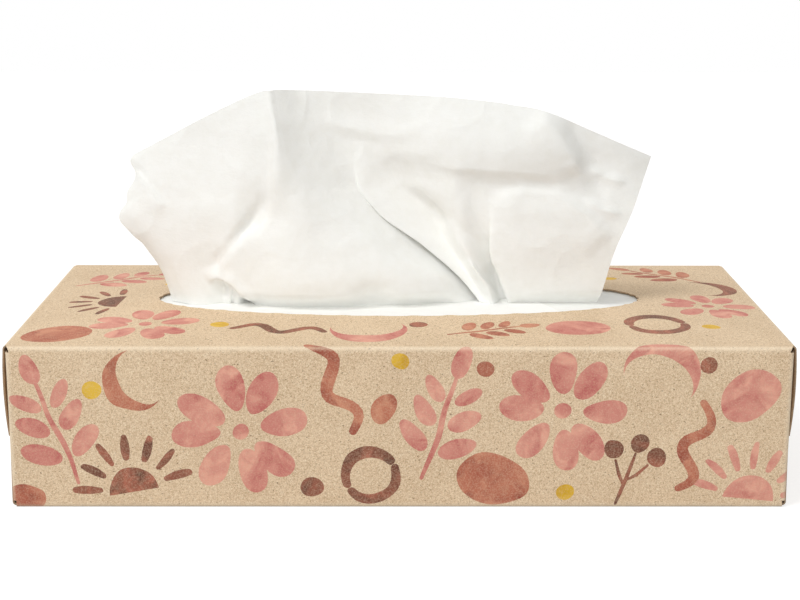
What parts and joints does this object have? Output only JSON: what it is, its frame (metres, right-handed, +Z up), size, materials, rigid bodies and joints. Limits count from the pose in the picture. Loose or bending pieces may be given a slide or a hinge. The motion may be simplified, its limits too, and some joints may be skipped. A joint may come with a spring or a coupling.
{
  "type": "tissue box",
  "caption": "Flat tissue box of kraft card with glued end flaps and an oval slot in its crowned top, through which a gathered tissue stands up from the pack inside.",
  "frame": {"origin": "on the ground under the middle of the box", "axes": "+X along the long side, +Y from the front panel to the back panel, +Z up"},
  "size_m": [0.2434, 0.118, 0.1225],
  "materials": {
    "kraft_card": "uncoated brown kraft card with a soft printed pattern",
    "tissue_paper": "soft matt white tissue"
  },
  "bodies": {
    "root": {"carton": "kraft_card", "tissue_stack": "tissue_paper", "next_tissue": "tissue_paper", "pulled_tissue": "tissue_paper"}
  },
  "joints": []
}
